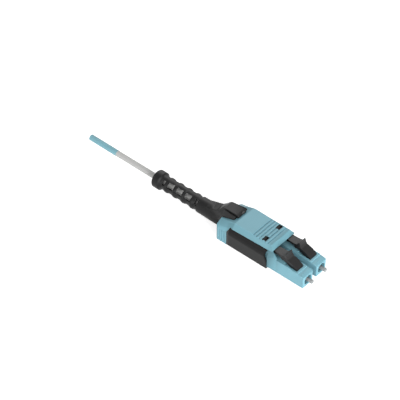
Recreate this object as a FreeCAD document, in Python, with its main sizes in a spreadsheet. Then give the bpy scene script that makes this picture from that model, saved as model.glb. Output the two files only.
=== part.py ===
import FreeCAD, Part
import math
import operator
import os
import types
import Sketcher

# A duplex push-pull fibre connector with one round boot and a short stub of round cable.
# Millimetres, +X towards the ferrule tips, +Y towards the left plug, +Z up.
# Every *_at size is a distance behind the ferrule tips, and heights and radii count from the
# ferrule axis. Placing the pieces brings the origin under the middle of the connector, on the
# surface it rests on.
SIZES = {
    # the whole connector
    "connector_length": 63.6,
    "plug_pitch": 6.25,
    "half_width": 6.25,
    "fit_gap": 0.05,
    # plug housings
    "face_at": 1.7,
    "plug_width": 4.42,
    "plug_depth": 2.21,
    "nose_front_height": 1.95,
    "nose_height": 2.2,
    "nose_ramp": 1.2,
    "rise_end_at": 8.5,
    "plug_top": 2.6,
    "nose_round": 0.35,
    "ridge_at": 3.9,
    "ridge_height": 2.45,
    "seat_front_at": 4.7,
    "seat_end_at": 9.4,
    "seat_height": 2.15,
    "entry_at": 15.3,
    "ear_end_at": 16.5,
    "ear_start_at": 12.0,
    "ear_slope": 1.7,
    "ear_inner": 1.55,
    "ear_height": 4.6,
    "flare": 0.6,
    "flare_end_at": 14.35,
    "tail_end_at": 20.2,
    "tail_depth": 1.85,
    "mouth_radius": 1.5,
    "mouth_bevel": 0.15,
    "web_at": 4.6,
    "web_thickness": 0.8,
    "web_hole_radius": 1.2,
    "chamber_radius": 1.5,
    # ferrules, flanges, springs and their stops
    "ferrule_radius": 0.6245,
    "ferrule_length": 6.9,
    "ferrule_bevel": 0.12,
    "ferrule_travel": 0.8,
    "ferrule_tail_radius": 0.45,
    "flange_radius": 1.35,
    "flange_thickness": 1.85,
    "tail_radius": 0.78,
    "flange_tail_end_at": 11.4,
    "tail_bore_radius": 0.42,
    "wire_radius": 0.13,
    "coil_radius": 1.1,
    "coil_turns": 5,
    "stop_at": 15.5,
    "stop_radius": 1.42,
    "stop_bore_radius": 0.45,
    "stop_flange_radius": 1.7,
    "stop_flange_thickness": 0.9,
    # latches
    "latch_front_at": 4.8,
    "latch_half_width": 1.5,
    "pivot_at": 5.3,
    "latch_toe_height": 3.45,
    "latch_toe": 0.5,
    "shoulder_at": 8.15,
    "shoulder_height": 4.38,
    "shoulder_end_at": 11.0,
    "shoulder_thickness": 0.85,
    "finger_half_width": 1.08,
    "nub_at": 9.2,
    "nub_height": 6.3,
    "nub_length": 0.55,
    "finger_height": 4.85,
    "finger_thickness": 0.7,
    "bump_at": 18.15,
    "bump_height": 5.95,
    "bump_half_width": 0.8,
    "finger_end_at": 19.2,
    # black body: base tray and lid
    "panel_front_at": 15.0,
    "panel_rear_at": 30.2,
    "base_depth": 2.4,
    "base_bevel": 0.3,
    "panel_height": 2.7,
    "ledge_height": 4.65,
    "ledge_half_width": 5.5,
    "notch_at": 16.1,
    "notch_height": 2.15,
    "bulge_height": 0.6,
    "rear_bevel": 0.8,
    "rear_bevel_height": 3.0,
    "floor_height": 1.9,
    "cavity_half_width": 4.9,
    "rear_wall": 1.0,
    "neck_radius": 1.65,
    "neck_length": 2.0,
    "rib_half_width": 0.75,
    "lid_half_width": 4.25,
    "lid_bottom": 2.4,
    "channel_half_width": 1.35,
    "channel_floor": 2.75,
    # release cover
    "cover_front_at": 13.65,
    "lip_end_at": 14.7,
    "slope_at": 28.5,
    "cover_end_at": 34.5,
    "cover_top": 6.2,
    "flat_half_width": 4.3,
    "lip_height": 5.05,
    "lip_half_width": 5.06,
    "foot_half_width": 5.65,
    "foot_front_half_width": 5.25,
    "cover_thickness": 0.7,
    "cover_edge_thickness": 0.65,
    "side_height": 3.1,
    "rim_height": 4.2,
    "rim_half_width": 3.44,
    "rim_shoulder_height": 3.15,
    "rim_side_height": 2.75,
    "ring_depth": 2.25,
    "ring_wall": 0.85,
    "ring_floor": 0.5,
    "ring_end_wall": 1.1,
    "corner_radius": 1.0,
    "groove_at": 15.75,
    "groove_pitch": 1.09,
    "groove_count": 6,
    "groove_width": 0.5,
    "groove_depth": 0.2,
    "window_at": 17.8,
    "window_length": 1.15,
    "window_half_width": 0.92,
    "grip_at": 30.95,
    "grip_pitch": 0.92,
    "grip_count": 4,
    "grip_width": 0.42,
    "grip_depth": 0.14,
    "rail_width": 0.35,
    "rail_depth": 0.7,
    # boot
    "barrel_radius": 2.75,
    "sleeve_radius": 2.55,
    "taper_share": 0.361,
    "collar_length": 2.8,
    "collar_radius": 2.97,
    "collar_bevel": 0.3,
    "collar_bore_radius": 1.1,
    "sleeve_bore_radius": 1.7,
    "boot_bore_radius": 1.62,
    "neck_hole_radius": 2.0,
    "tab_half_width": 1.8,
    "tab_height": 6.8,
    "tab_front_at": 29.4,
    "tab_rear_at": 35.4,
    "saddle_at": 37.0,
    "saddle_height": 4.6,
    "saddle_share": 0.323,
    "wing_half_width": 3.0,
    "wing_front_at": 30.0,
    "wing_height": 6.45,
    "wing_edge_height": 4.36,
    "wing_flat_half_width": 2.0,
    "wing_rise": 0.29,
    "tab_groove_width": 0.22,
    "tab_groove_depth": 1.3,
    "lattice_share": 0.574,
    "pitch_share": 0.133,
    "rib_length": 0.95,
    "end_opening_length": 1.1,
    "opening_width": 2.5,
    "round_opening_width": 1.7,
    # crimp and cable
    "post_radius": 1.1,
    "post_bore_radius": 0.45,
    "post_flange_radius": 1.7,
    "post_flange_thickness": 0.8,
    "post_end_at": 38.5,
    "yarn_thickness": 0.14,
    "crimp_at": 32.4,
    "crimp_step_at": 39.2,
    "crimp_end_at": 42.4,
    "crimp_thickness": 0.16,
    "cable_radius": 0.86,
    "jacket_radius": 0.93,
    "jacket_at": 80.4,
    "cable_end_at": 91.9,
    "fibre_radius": 0.125,
    "fibre_spacing": 0.4,
    "fibre_bend_at": 22.0,
    "fibre_join_at": 26.5,
}

doc = FreeCAD.newDocument("fibre_connector")
sheet = doc.addObject("Spreadsheet::Sheet", "Sizes")
for row, (name, value) in enumerate(SIZES.items(), start=1):
    sheet.set(f"A{row}", name)
    sheet.set(f"B{row}", str(value))
    sheet.setAlias(f"B{row}", name)
doc.recompute()

parts = []


class Measure:
    """A size, or a sum of sizes: its value, and the formula that ties it to the sheet."""

    def __init__(self, value, text=None):
        self.value = value
        self.text = text or str(value)

    def __add__(self, other):
        return combine(self, "+", other)

    def __radd__(self, other):
        return combine(other, "+", self)

    def __sub__(self, other):
        return combine(self, "-", other)

    def __rsub__(self, other):
        return combine(other, "-", self)

    def __mul__(self, other):
        return combine(self, "*", other)

    def __rmul__(self, other):
        return combine(other, "*", self)

    def __truediv__(self, other):
        return combine(self, "/", other)

    def __neg__(self):
        return combine(0, "-", self)


RULES = {"+": operator.add, "-": operator.sub, "*": operator.mul, "/": operator.truediv}


def measure(number):
    return number if isinstance(number, Measure) else Measure(number)


def combine(left, sign, right):
    left, right = measure(left), measure(right)
    return Measure(RULES[sign](left.value, right.value), f"({left.text} {sign} {right.text})")


s = types.SimpleNamespace(**{name: Measure(SIZES[name], f"Sizes.{name}") for name in SIZES})


# The boot's own stations share out its length between the cover and the collar.
s.collar_at = s.connector_length - s.collar_length
s.boot_run = s.collar_at - s.cover_end_at
s.taper_at = s.cover_end_at + s.boot_run * s.taper_share
s.saddle_end_at = s.cover_end_at + s.boot_run * s.saddle_share
s.lattice_at = s.cover_end_at + s.boot_run * s.lattice_share
s.lattice_pitch = s.boot_run * s.pitch_share
s.opening_length = s.lattice_pitch - s.rib_length


def size(number):
    """The plain number behind a measure."""
    return measure(number).value


def bind(thing, path, number):
    thing.setExpression(path, measure(number).text)


def place(thing, across=0):
    """Moves a piece from the ferrule axis to its place over the resting surface."""
    bind(thing, "Placement.Base.x", s.connector_length / 2)
    bind(thing, "Placement.Base.y", across)
    bind(thing, "Placement.Base.z", s.collar_radius)


def new_body(label, across=0):
    body = doc.addObject("PartDesign::Body", label)
    body.Label = label
    place(body, across)
    parts.append(body)
    return body


def origin_feature(body, role):
    return next(item for item in body.Origin.OriginFeatures if item.Role == role)


def new_sketch(body, plane, at=0):
    """An empty sketch on one of the body's own planes, moved along its normal by at."""
    sketch = body.newObject("Sketcher::SketchObject", "sketch")
    sketch.AttachmentSupport = [(origin_feature(body, plane), "")]
    sketch.MapMode = "FlatFace"
    bind(sketch, "AttachmentOffset.Base.z", at)
    return sketch


def hold(sketch, direction, line, distance):
    """Ties the start of a line to the sketch's origin."""
    if size(distance) == 0:
        axis = -2 if direction == "DistanceX" else -1
        sketch.addConstraint(Sketcher.Constraint("PointOnObject", line, 1, axis))
        return
    number = sketch.addConstraint(Sketcher.Constraint(direction, -1, 1, line, 1, size(distance)))
    bind(sketch, f"Constraints[{number}]", distance)


def draw(sketch, points):
    """A closed outline of straight edges in a sketch; each point is a pair of measures."""
    first = sketch.GeometryCount
    corners = [FreeCAD.Vector(size(along), size(up), 0) for along, up in points]
    for index, corner in enumerate(corners):
        sketch.addGeometry(Part.LineSegment(corner, corners[(index + 1) % len(corners)]))
    for index in range(len(corners)):
        following = (index + 1) % len(corners)
        sketch.addConstraint(Sketcher.Constraint("Coincident", first + index, 2, first + following, 1))
    for index, (along, up) in enumerate(points):
        hold(sketch, "DistanceX", first + index, along)
        hold(sketch, "DistanceY", first + index, up)


def outline(body, plane, points, at=0):
    sketch = new_sketch(body, plane, at)
    draw(sketch, points)
    return sketch


def box_points(low_x, high_x, low_y, high_y):
    return [(low_x, low_y), (high_x, low_y), (high_x, high_y), (low_x, high_y)]


def mirrored(points):
    """Half an outline, from its lower right corner up to its top, closed by its mirror image."""
    return points + [(-along, up) for along, up in reversed(points)]


def ring(sketch, radius):
    """A circle round the sketch's origin."""
    circle = sketch.addGeometry(Part.Circle(FreeCAD.Vector(), FreeCAD.Vector(0, 0, 1), size(radius)))
    sketch.addConstraint(Sketcher.Constraint("Coincident", circle, 3, -1, 1))
    number = sketch.addConstraint(Sketcher.Constraint("Radius", circle, size(radius)))
    bind(sketch, f"Constraints[{number}]", radius)


def extrude(body, kind, sketch, length, both=False, up=True):
    """Pads or cuts a sketch along its normal (up), against it, or to both sides alike."""
    before = body.Shape.Volume if kind == "Pocket" else 0
    feature = body.newObject(f"PartDesign::{kind}", kind.lower())
    feature.Profile = sketch
    feature.Midplane = both
    feature.Reversed = up if kind == "Pocket" else not up
    bind(feature, "Length", length)
    doc.recompute()
    if kind == "Pocket" and body.Shape.Volume > before - 1e-6:
        raise RuntimeError(f"{body.Label}: {feature.Name} cuts nothing")
    return feature


def turn(body, kind, points):
    """Adds (Revolution) or cuts (Groove) a profile of (distance along X, radius) round the X axis."""
    sketch = outline(body, "XZ_Plane", points)
    feature = body.newObject(f"PartDesign::{kind}", kind.lower())
    feature.Profile = sketch
    feature.ReferenceAxis = (sketch, ["H_Axis"])
    feature.Angle = 360
    doc.recompute()
    return feature


def loft(body, kind, sketches):
    feature = body.newObject(f"PartDesign::{kind}Loft", "loft")
    feature.Profile = sketches[0]
    feature.Sections = sketches[1:]
    feature.Ruled = True
    doc.recompute()
    return feature


def repeat(body, feature, count, pitch):
    """Copies a feature forwards or backwards along X, a pitch apart."""
    pattern = body.newObject("PartDesign::LinearPattern", "pattern")
    pattern.Originals = [feature]
    pattern.Direction = (origin_feature(body, "X_Axis"), [""])
    pattern.Reversed = True
    bind(pattern, "Length", (pitch) * (count - 1))
    bind(pattern, "Occurrences", count)
    body.Tip = pattern
    doc.recompute()
    return pattern


def fillet(body, radius, chosen):
    """Rounds the edges of a body's last feature that chosen(edge) picks."""
    base = body.Tip
    names = [f"Edge{n}" for n, edge in enumerate(base.Shape.Edges, start=1) if chosen(edge)]
    if not names:
        raise RuntimeError(f"{body.Label}: no edge to round")
    feature = body.newObject("PartDesign::Fillet", "fillet")
    feature.Base = (base, names)
    bind(feature, "Radius", radius)
    doc.recompute()
    return feature


def runs_along(edge, axis):
    """Whether an edge is straight and parallel to one of the axes, 0 to 2."""
    if not isinstance(edge.Curve, Part.Line):
        return False
    return abs(edge.Curve.Direction[axis]) > 0.999


def middle(edge):
    return edge.CenterOfMass


def plug_housing(label, side):
    """An aqua plug: square nose, ears that flare to the body, and a tail with the spring chamber."""
    body = new_body(label, side * s.plug_pitch / 2)
    profile = outline(body, "XZ_Plane", [
        (-s.face_at, -s.plug_depth),
        (-s.face_at, s.nose_front_height),
        (-(s.face_at + s.nose_ramp), s.nose_height),
        (-s.ridge_at, s.nose_height),
        (-(s.ridge_at + 0.1), s.ridge_height),
        (-s.seat_front_at, s.ridge_height),
        (-s.rise_end_at, s.plug_top),
        (-s.ear_end_at, s.plug_top),
        (-s.ear_end_at, s.plug_depth),
        (-s.tail_end_at, s.plug_depth),
        (-s.tail_end_at, -s.tail_depth),
        (-s.entry_at, -s.tail_depth),
        (-s.entry_at, -s.plug_depth),
    ])
    extrude(body, "Pad", profile, s.plug_width, both=True)
    reach = side * (s.plug_width / 2 + s.flare)
    wall = side * s.plug_width / 2
    ear = outline(body, "XY_Plane", [
        (-s.ear_start_at, side * s.ear_inner),
        (-s.ear_start_at, wall),
        (-s.flare_end_at, reach),
        (-(s.panel_front_at - s.fit_gap), reach),
        (-(s.panel_front_at - s.fit_gap), wall),
        (-s.ear_end_at, wall),
        (-s.ear_end_at, side * s.ear_inner),
    ], at=-s.tail_depth + 0.3)
    extrude(body, "Pad", ear, s.ear_height + s.tail_depth - 0.3)
    ear_slope = outline(body, "XZ_Plane", [
        (-(s.ear_start_at - 1), s.plug_top),
        (-s.ear_start_at, s.plug_top),
        (-(s.ear_start_at + s.ear_slope), s.ear_height),
        (-(s.ear_start_at + s.ear_slope), s.ear_height + 1),
        (-(s.ear_start_at - 1), s.ear_height + 1),
    ])
    extrude(body, "Pocket", ear_slope, 2 * s.half_width, both=True)
    ear_top = outline(body, "YZ_Plane", [
        (reach + side * 0.05, s.plug_top - 0.05),
        (reach + side * 1, s.plug_top - 0.05),
        (reach + side * 1, s.ear_height + 1),
        (side * s.ear_inner, s.ear_height + 1),
        (side * s.ear_inner, s.ear_height),
    ], at=-(s.ear_end_at + 1))
    extrude(body, "Pocket", ear_top, s.ear_end_at - s.ear_start_at + 2)
    seat = outline(body, "XY_Plane", box_points(
        -s.seat_end_at, -s.seat_front_at,
        -(s.latch_half_width + 3 * s.fit_gap), s.latch_half_width + 3 * s.fit_gap), at=s.seat_height)
    extrude(body, "Pocket", seat, s.plug_top)
    turn(body, "Groove", [
        (-(s.face_at - 1), 0),
        (-(s.face_at - 1), s.mouth_radius + s.mouth_bevel),
        (-s.face_at, s.mouth_radius + s.mouth_bevel),
        (-(s.face_at + s.mouth_bevel), s.mouth_radius),
        (-s.web_at, s.mouth_radius),
        (-s.web_at, s.web_hole_radius),
        (-(s.web_at + s.web_thickness), s.web_hole_radius),
        (-(s.web_at + s.web_thickness), s.chamber_radius),
        (-(s.tail_end_at + 1), s.chamber_radius),
        (-(s.tail_end_at + 1), 0),
    ])
    front = size(-s.face_at)
    fillet(body, s.nose_round, lambda edge: abs(middle(edge).x - front) < 0.01
           and (runs_along(edge, 1) or runs_along(edge, 2)))


def ferrule(label, side):
    """The white ceramic ferrule, bevelled at its tip and stepped down where the flange holds it."""
    body = new_body(label, side * s.plug_pitch / 2)
    step = s.web_at + s.web_thickness + s.fit_gap
    turn(body, "Revolution", [
        (-s.ferrule_length, 0),
        (-s.ferrule_length, s.ferrule_tail_radius),
        (-step, s.ferrule_tail_radius),
        (-step, s.ferrule_radius),
        (-s.ferrule_bevel, s.ferrule_radius),
        (0, s.ferrule_radius - s.ferrule_bevel),
        (0, 0),
    ])


def ferrule_flange(label, side):
    """The metal flange that holds the ferrule and carries the spring round its tail."""
    body = new_body(label, side * s.plug_pitch / 2)
    front = s.web_at + s.web_thickness + 1.2 * s.fit_gap
    turn(body, "Revolution", [
        (-front, s.ferrule_tail_radius + s.fit_gap / 5),
        (-front, s.flange_radius - s.mouth_bevel),
        (-(front + s.mouth_bevel), s.flange_radius),
        (-(front + s.flange_thickness), s.flange_radius),
        (-(front + s.flange_thickness), s.tail_radius),
        (-s.flange_tail_end_at, s.tail_radius),
        (-s.flange_tail_end_at, s.tail_bore_radius),
        (-(s.ferrule_length + s.fit_gap), s.tail_bore_radius),
        (-(s.ferrule_length + s.fit_gap), s.ferrule_tail_radius + s.fit_gap / 5),
    ])


def polygon(radius, sides):
    """A wire of equal sides round the X axis, in the plane through the origin."""
    turns = [math.radians(360 * step / sides) for step in range(sides + 1)]
    return Part.makePolygon([
        FreeCAD.Vector(0, size(radius) * math.cos(turn), size(radius) * math.sin(turn)) for turn in turns])


def ferrule_spring(label, side):
    """The coil spring between the flange and its stop, of wire with four flats."""
    clearance = s.wire_radius + 2 * s.fit_gap
    front = size(s.web_at + s.web_thickness + s.fit_gap + s.flange_thickness + clearance)
    rear = size(s.stop_at - clearance)
    helix = Part.makeHelix((rear - front) / size(s.coil_turns), rear - front, size(s.coil_radius))
    section = polygon(s.wire_radius, 4)
    section.rotate(FreeCAD.Vector(), FreeCAD.Vector(0, 0, 1), 90)
    section.translate(FreeCAD.Vector(size(s.coil_radius), 0, 0))
    for curve in (helix, section):
        curve.rotate(FreeCAD.Vector(), FreeCAD.Vector(0, 1, 0), -90)
        curve.translate(FreeCAD.Vector(-front, 0, 0))
    spring = doc.addObject("Part::Feature", label)
    spring.Label = label
    spring.Shape = Part.Wire(helix).makePipeShell([section], True, True)
    place(spring, side * s.plug_pitch / 2)
    parts.append(spring)


def spring_stop(label, side):
    """The stop that is pressed into the rear of the plug and takes the spring's thrust."""
    body = new_body(label, side * s.plug_pitch / 2)
    rear = s.tail_end_at + s.fit_gap
    turn(body, "Revolution", [
        (-s.stop_at, s.stop_bore_radius),
        (-s.stop_at, s.stop_radius),
        (-rear, s.stop_radius),
        (-rear, s.stop_flange_radius),
        (-(rear + s.stop_flange_thickness), s.stop_flange_radius),
        (-(rear + s.stop_flange_thickness), s.stop_bore_radius),
    ])


def latch(label, side):
    """A sprung latch arm: wide front with two shoulders, a nub, and a finger with the release bump."""
    body = new_body(label, side * s.plug_pitch / 2)
    foot = s.seat_height + s.fit_gap
    front = outline(body, "XZ_Plane", [
        (-s.latch_front_at, foot),
        (-s.latch_front_at, s.latch_toe_height - s.latch_toe),
        (-(s.latch_front_at + s.latch_toe), s.latch_toe_height),
        (-s.shoulder_at, s.shoulder_height),
        (-(s.shoulder_end_at - s.latch_toe), s.shoulder_height),
        (-s.shoulder_end_at, s.shoulder_height - s.latch_toe),
        (-(s.shoulder_end_at - s.latch_toe), s.shoulder_height - s.shoulder_thickness),
        (-(s.nub_at + s.nub_length), s.shoulder_height - s.shoulder_thickness),
        (-(s.pivot_at + s.latch_toe), foot),
    ])
    extrude(body, "Pad", front, 2 * s.latch_half_width, both=True)
    finger = outline(body, "XZ_Plane", [
        (-(s.pivot_at + 1), s.latch_toe_height),
        (-s.shoulder_at, s.shoulder_height),
        (-(s.nub_at - s.nub_length * 0.8), s.shoulder_height + 0.75),
        (-(s.nub_at - s.nub_length * 0.2), s.nub_height - 0.15),
        (-s.nub_at, s.nub_height),
        (-(s.nub_at + s.nub_length * 0.4), s.nub_height - 0.2),
        (-(s.nub_at + s.nub_length * 1.6), s.finger_height + 0.2),
        (-(s.nub_at + s.nub_length * 3), s.finger_height),
        (-(s.bump_at - 1.3), s.finger_height - 0.1),
        (-(s.bump_at - 0.9), s.bump_height - 0.6),
        (-(s.bump_at - 0.1), s.bump_height),
        (-(s.bump_at + 0.15), s.bump_height),
        (-(s.bump_at + 0.15), s.finger_height - 0.1),
        (-s.finger_end_at, s.finger_height - 0.3),
        (-s.finger_end_at, s.finger_height - s.finger_thickness - 0.1),
        (-s.shoulder_end_at, s.finger_height - s.finger_thickness - 0.1),
        (-(s.nub_at + s.nub_length), s.shoulder_height - s.shoulder_thickness),
        (-(s.nub_at - 1), s.shoulder_height - s.shoulder_thickness),
    ])
    extrude(body, "Pad", finger, 2 * s.finger_half_width, both=True)
    for hand in (1, -1):
        trim = outline(body, "XY_Plane", box_points(
            -(s.bump_at + 0.5), -(s.bump_at - 1.25),
            hand * s.bump_half_width, hand * (s.finger_half_width + 1)), at=s.finger_height - 0.1)
        extrude(body, "Pocket", trim, s.bump_height)
    nose = size(-s.latch_front_at)
    fillet(body, s.latch_toe / 2, lambda edge: runs_along(edge, 2) and abs(middle(edge).x - nose) < 0.01)


def body_base():
    """The black tray: floor, tall side panels with their shaped front edge, and the rear neck."""
    body = new_body("body_base")
    section = outline(body, "YZ_Plane", mirrored([
        (s.half_width - s.base_bevel, -s.base_depth),
        (s.half_width, -(s.base_depth - s.base_bevel)),
        (s.half_width, s.panel_height),
        (s.half_width - 0.12, s.panel_height + 0.75),
        (s.ledge_half_width, s.ledge_height),
    ]), at=-s.panel_rear_at)
    extrude(body, "Pad", section, s.panel_rear_at - s.panel_front_at)
    front = outline(body, "XZ_Plane", [
        (-(s.panel_front_at - 1), -(s.base_depth + 1)),
        (-s.panel_front_at, -(s.base_depth + 1)),
        (-s.panel_front_at, -(s.base_depth - 1)),
        (-(s.panel_front_at + 0.15), s.bulge_height - 0.8),
        (-(s.panel_front_at + 0.45), s.bulge_height),
        (-(s.notch_at - 0.15), s.notch_height - 0.6),
        (-s.notch_at, s.notch_height),
        (-(s.notch_at - 0.3), s.notch_height + 1),
        (-(s.panel_front_at + 0.25), s.ledge_height),
        (-(s.panel_front_at + 0.25), s.ledge_height + 1),
        (-(s.panel_front_at - 1), s.ledge_height + 1),
    ])
    extrude(body, "Pocket", front, 3 * s.half_width, both=True)
    rear = outline(body, "XZ_Plane", [
        (-(s.panel_rear_at + 1), s.rear_bevel_height),
        (-s.panel_rear_at, s.rear_bevel_height),
        (-(s.panel_rear_at - s.rear_bevel), s.ledge_height),
        (-(s.panel_rear_at - s.rear_bevel), s.ledge_height + 1),
        (-(s.panel_rear_at + 1), s.ledge_height + 1),
    ])
    extrude(body, "Pocket", rear, 3 * s.half_width, both=True)
    tail_reach = s.plug_pitch / 2 + s.plug_width / 2 + s.fit_gap
    front_edge = -(s.panel_front_at - 1)
    stop_rear = s.tail_end_at + s.stop_flange_thickness + 3 * s.fit_gap
    rooms = [
        (-(s.panel_rear_at - s.rear_wall), s.cavity_half_width, -s.floor_height,
         s.ledge_height + s.floor_height + 1),
        (-stop_rear, tail_reach, -s.floor_height, s.plug_depth + s.floor_height + s.fit_gap),
        (-(s.ear_end_at + s.fit_gap), tail_reach, -s.floor_height, s.ledge_height + s.floor_height + 1),
        (-(s.entry_at + s.fit_gap), tail_reach, -(s.base_depth + 1), 2 * s.base_depth),
    ]
    for back, half, low, height in rooms:
        room = outline(body, "XY_Plane", box_points(back, front_edge, -half, half), at=low)
        extrude(body, "Pocket", room, height)
    rib = outline(body, "XY_Plane", box_points(
        -s.tail_end_at, -(s.entry_at + 1), -s.rib_half_width, s.rib_half_width), at=-s.floor_height)
    extrude(body, "Pad", rib, s.plug_depth + s.floor_height)
    neck = new_sketch(body, "YZ_Plane", at=-(s.panel_rear_at + s.neck_length))
    ring(neck, s.neck_radius)
    extrude(body, "Pad", neck, s.neck_length + s.rear_wall / 2)
    bore = new_sketch(body, "YZ_Plane", at=-(s.panel_rear_at + s.neck_length + 1))
    ring(bore, s.post_radius + s.fit_gap / 2)
    extrude(body, "Pocket", bore, s.neck_length + s.rear_wall + 2)


def body_lid():
    """The black lid that closes the tray under the release cover, with a channel for each finger."""
    body = new_body("body_lid")
    plate = outline(body, "XY_Plane", box_points(
        -(s.panel_rear_at - s.rear_wall - s.fit_gap), -(s.ear_end_at + 2 * s.fit_gap),
        -s.lid_half_width, s.lid_half_width), at=s.lid_bottom)
    extrude(body, "Pad", plate, s.ledge_height - s.lid_bottom)
    for hand in (1, -1):
        middle_line = hand * s.plug_pitch / 2
        channel = outline(body, "XY_Plane", box_points(
            -(s.finger_end_at + 1), -(s.ear_end_at - 1),
            middle_line - s.channel_half_width, middle_line + s.channel_half_width),
            at=s.channel_floor)
        extrude(body, "Pocket", channel, s.ledge_height)


def release_cover():
    """The aqua cover that slides back: grooved flat top, thin lip, and a ring round the rear."""
    body = new_body("release_cover")
    edge = s.ledge_height + s.fit_gap
    full = mirrored([
        (s.half_width, -s.ring_depth),
        (s.half_width, s.side_height),
        (s.foot_half_width, edge),
        (s.flat_half_width, s.cover_top),
    ])
    rim = mirrored([
        (s.half_width, -s.ring_depth),
        (s.half_width, s.rim_side_height),
        (s.foot_half_width, s.rim_shoulder_height),
        (s.rim_half_width, s.rim_height),
    ])
    top = mirrored([
        (s.foot_half_width, edge),
        (s.flat_half_width, s.cover_top),
    ])
    top_front = mirrored([
        (s.foot_front_half_width, edge),
        (s.flat_half_width, s.cover_top),
    ])
    lip = mirrored([
        (s.lip_half_width + 0.1, edge),
        (s.lip_half_width, s.lip_height),
    ])
    loft(body, "Additive", [
        outline(body, "YZ_Plane", full, at=-s.slope_at),
        outline(body, "YZ_Plane", rim, at=-s.cover_end_at)])
    loft(body, "Additive", [
        outline(body, "YZ_Plane", top, at=-s.slope_at),
        outline(body, "YZ_Plane", top_front, at=-s.lip_end_at)])
    loft(body, "Additive", [
        outline(body, "YZ_Plane", top_front, at=-s.lip_end_at),
        outline(body, "YZ_Plane", lip, at=-s.cover_front_at)])
    ring_front = s.panel_rear_at + s.fit_gap
    panels = outline(body, "XZ_Plane", [
        (-ring_front, -(s.ring_depth + 1)),
        (-ring_front, s.rear_bevel_height),
        (-(ring_front - s.rear_bevel), edge),
        (-(s.cover_front_at - 1), edge),
        (-(s.cover_front_at - 1), -(s.ring_depth + 1)),
    ])
    extrude(body, "Pocket", panels, 3 * s.half_width, both=True)
    inner = mirrored([
        (s.cavity_half_width, s.ledge_height - 1),
        (s.cavity_half_width, edge + 0.15),
        (s.flat_half_width - 0.3, s.cover_top - s.cover_thickness),
    ])
    inner_lip = mirrored([
        (s.lip_half_width - 0.45, s.ledge_height - 1),
        (s.lip_half_width - 0.45, edge + 0.05),
        (s.lip_half_width - 0.55, s.lip_height - 0.2),
    ])
    loft(body, "Subtractive", [
        outline(body, "YZ_Plane", inner, at=-s.lip_end_at),
        outline(body, "YZ_Plane", inner_lip, at=-s.cover_front_at)])
    hollow = outline(body, "YZ_Plane", inner, at=-(s.panel_rear_at + 2 * s.fit_gap))
    extrude(body, "Pocket", hollow, s.panel_rear_at + 2 * s.fit_gap - s.lip_end_at)
    ring_room = outline(body, "YZ_Plane", mirrored([
        (s.half_width - s.ring_wall, -(s.ring_depth - s.ring_floor)),
        (s.half_width - s.ring_wall, s.rim_side_height - 0.25),
        (s.rim_half_width + 0.2, s.rim_height - 0.6),
    ]), at=-(s.cover_end_at - s.ring_end_wall))
    extrude(body, "Pocket", ring_room, s.cover_end_at - s.ring_end_wall - s.panel_rear_at + 1)
    hole = new_sketch(body, "YZ_Plane", at=-(s.cover_end_at + 1))
    ring(hole, s.neck_hole_radius)
    extrude(body, "Pocket", hole, s.ring_end_wall + 2)
    wing = s.wing_half_width + 2 * s.fit_gap
    tab = s.tab_half_width + 2 * s.fit_gap
    for half, front in ((wing, s.wing_front_at - 2 * s.fit_gap), (tab, s.tab_front_at - 2 * s.fit_gap)):
        slot = outline(body, "XY_Plane", box_points(
            -(s.cover_end_at + 1), -front, -half, half), at=s.rim_side_height + 0.25)
        extrude(body, "Pocket", slot, s.cover_top)
    for hand in (1, -1):
        middle_line = hand * s.plug_pitch / 2
        window = outline(body, "XY_Plane", box_points(
            -(s.window_at + s.window_length / 2), -(s.window_at - s.window_length / 2),
            middle_line - s.window_half_width, middle_line + s.window_half_width),
            at=s.ledge_height)
        extrude(body, "Pocket", window, s.cover_top)
        rail = outline(body, "XY_Plane", box_points(
            -(s.slope_at - 1), -(s.ear_end_at + 1),
            hand * (s.cavity_half_width + 0.1), hand * (s.cavity_half_width - s.rail_width - s.fit_gap)),
            at=s.ledge_height - s.rail_depth)
        extrude(body, "Pad", rail, s.rail_depth + 0.4)
        clear = outline(body, "XY_Plane", box_points(
            -s.slope_at, -s.ear_end_at,
            hand * (s.cavity_half_width - s.fit_gap), hand * (s.cavity_half_width + 0.4)),
            at=s.ledge_height - s.rail_depth - 0.1)
        extrude(body, "Pocket", clear, s.rail_depth + 0.1 + s.fit_gap)
    groove = outline(body, "XZ_Plane", [
        (-s.groove_at, s.cover_top - s.groove_depth),
        (-(s.groove_at + s.groove_width), s.cover_top - s.groove_depth),
        (-(s.groove_at + s.groove_width), s.cover_top + 1),
        (-s.groove_at, s.cover_top + 1),
    ])
    first = extrude(body, "Pocket", groove, 2 * s.half_width, both=True)
    repeat(body, first, s.groove_count, s.groove_pitch)
    for hand in (1, -1):
        grip = outline(body, "XY_Plane", box_points(
            -(s.grip_at + s.grip_width), -s.grip_at,
            hand * (s.half_width - s.grip_depth), hand * (s.half_width + 1)), at=-(s.ring_depth + 1))
        first = extrude(body, "Pocket", grip, s.ring_depth + 1 + s.rim_side_height)
        repeat(body, first, s.grip_count, s.grip_pitch)
    end = size(-s.cover_end_at)
    half = size(s.half_width)
    fillet(body, s.corner_radius, lambda edge: runs_along(edge, 2)
           and abs(middle(edge).x - end) < 0.01 and abs(abs(middle(edge).y) - half) < 0.01)


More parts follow.
